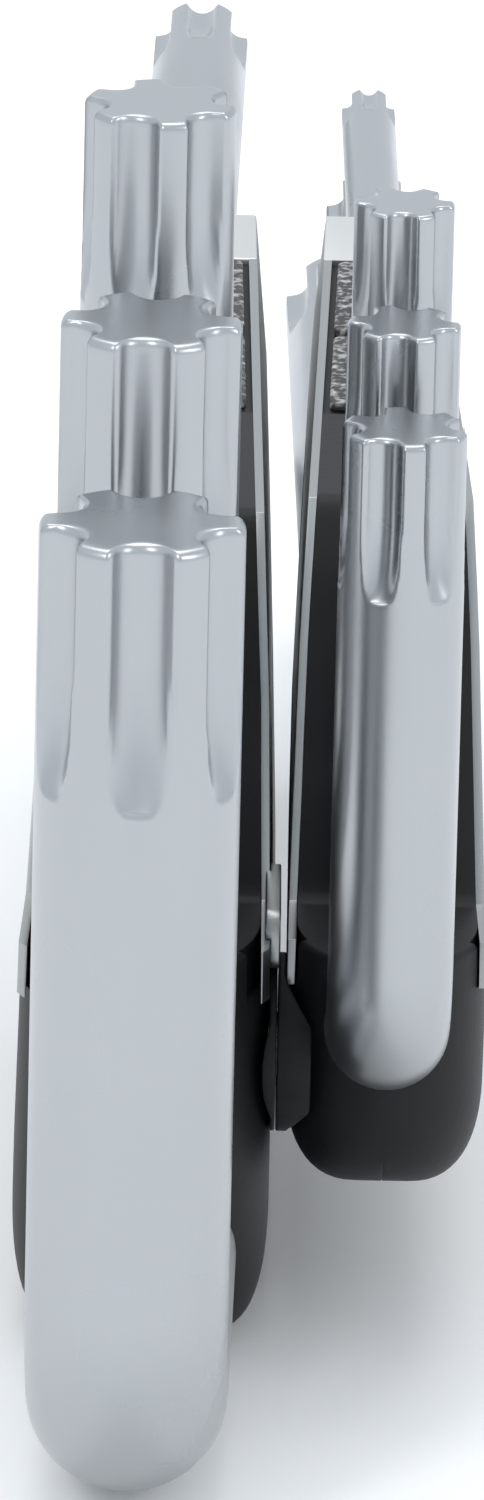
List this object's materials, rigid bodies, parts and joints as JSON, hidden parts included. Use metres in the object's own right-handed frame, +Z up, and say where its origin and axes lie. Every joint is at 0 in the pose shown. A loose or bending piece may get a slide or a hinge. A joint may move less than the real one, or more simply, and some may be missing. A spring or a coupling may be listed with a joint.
{
  "type": "six-lobe key set",
  "caption": "Set of L-shaped six-lobe keys nested in a hinged pair of narrow black bars lined with sheet steel.",
  "frame": {"origin": "centre of the bottom of the whole set's box, at rest on the left bar's underside", "axes": "+Y along the long arms from the nose to the far end, +Z up along the short arms, +X from the left bar to the right bar"},
  "size_m": [0.0216, 0.1288, 0.06],
  "materials": {
    "chrome": "satin chrome plating",
    "shell_plastic": "smooth moulded plastic with a fine grain",
    "liner_steel": "brushed sheet steel",
    "cap_steel": "light grey satin metal",
    "rivet_steel": "plain bright steel",
    "pad_plastic": "coarse speckled grip texture",
    "bush_plastic": "plain natural grey"
  },
  "bodies": {
    "left_bar": {"left_outer_shell": "shell_plastic", "left_inner_shell": "shell_plastic", "left_outer_liner": "liner_steel", "left_inner_liner": "liner_steel", "left_end_cap": "cap_steel", "left_liner_rivets": "rivet_steel", "left_rear_grip_pad": "pad_plastic", "left_front_grip_pad": "pad_plastic", "left_bush_50": "bush_plastic", "left_bush_45": "bush_plastic", "left_bush_40": "bush_plastic", "left_bush_25_long": "bush_plastic", "pivot_spacer": "shell_plastic", "pivot_stop_tab": "liner_steel", "pivot_pin": "rivet_steel"},
    "right_bar": {"right_outer_shell": "shell_plastic", "right_inner_shell": "shell_plastic", "right_outer_liner": "liner_steel", "right_inner_liner": "liner_steel", "right_end_cap": "cap_steel", "right_liner_rivets": "rivet_steel", "right_rear_grip_pad": "pad_plastic", "right_front_grip_pad": "pad_plastic", "right_bush_30": "bush_plastic", "right_bush_27": "bush_plastic", "right_bush_25": "bush_plastic", "right_bush_10": "bush_plastic", "pivot_boss": "shell_plastic"},
    "star_key_50_body": {"star_key_50": "chrome"},
    "star_key_45_body": {"star_key_45": "chrome"},
    "star_key_40_body": {"star_key_40": "chrome"},
    "star_key_25_long_body": {"star_key_25_long": "chrome"},
    "star_key_30_body": {"star_key_30": "chrome"},
    "star_key_27_body": {"star_key_27": "chrome"},
    "star_key_25_body": {"star_key_25": "chrome"},
    "star_key_10_body": {"star_key_10": "chrome"}
  },
  "joints": [
    {"name": "bar_pivot", "type": "hinge", "parent": "left_bar", "child": "right_bar", "pos_m": [0.00126, -0.03344, 0.0136], "axis": [1, 0, 0], "range_deg": [0, 90]},
    {"name": "swing_50", "type": "hinge", "parent": "left_bar", "child": "star_key_50_body", "pos_m": [-0.00518, -0.05994, 0.005], "axis": [0.0166, 0.9999, 0], "range_deg": [-90, 0]},
    {"name": "swing_45", "type": "hinge", "parent": "left_bar", "child": "star_key_45_body", "pos_m": [-0.005, -0.04904, 0.0152], "axis": [0.0166, 0.9999, 0], "range_deg": [-90, 0]},
    {"name": "swing_40", "type": "hinge", "parent": "left_bar", "child": "star_key_40_body", "pos_m": [-0.00483, -0.03914, 0.0233], "axis": [0.0166, 0.9999, 0], "range_deg": [-90, 0]},
    {"name": "swing_25_long", "type": "hinge", "parent": "left_bar", "child": "star_key_25_long_body", "pos_m": [-0.0047, -0.03094, 0.02985], "axis": [0.0166, 0.9999, 0], "range_deg": [-90, 0]},
    {"name": "swing_30", "type": "hinge", "parent": "right_bar", "child": "star_key_30_body", "pos_m": [0.00622, -0.04064, 0.0157], "axis": [-0.0183, 0.9998, 0], "range_deg": [0, 90]},
    {"name": "swing_27", "type": "hinge", "parent": "right_bar", "child": "star_key_27_body", "pos_m": [0.00617, -0.03434, 0.0226], "axis": [-0.0087, 1, 0], "range_deg": [0, 90]},
    {"name": "swing_25", "type": "hinge", "parent": "right_bar", "child": "star_key_25_body", "pos_m": [0.00612, -0.02854, 0.028], "axis": [-0.0087, 1, 0], "range_deg": [0, 90]},
    {"name": "swing_10", "type": "hinge", "parent": "right_bar", "child": "star_key_10_body", "pos_m": [0.00608, -0.02394, 0.0319], "axis": [-0.0113, 0.9999, 0], "range_deg": [0, 90]}
  ]
}
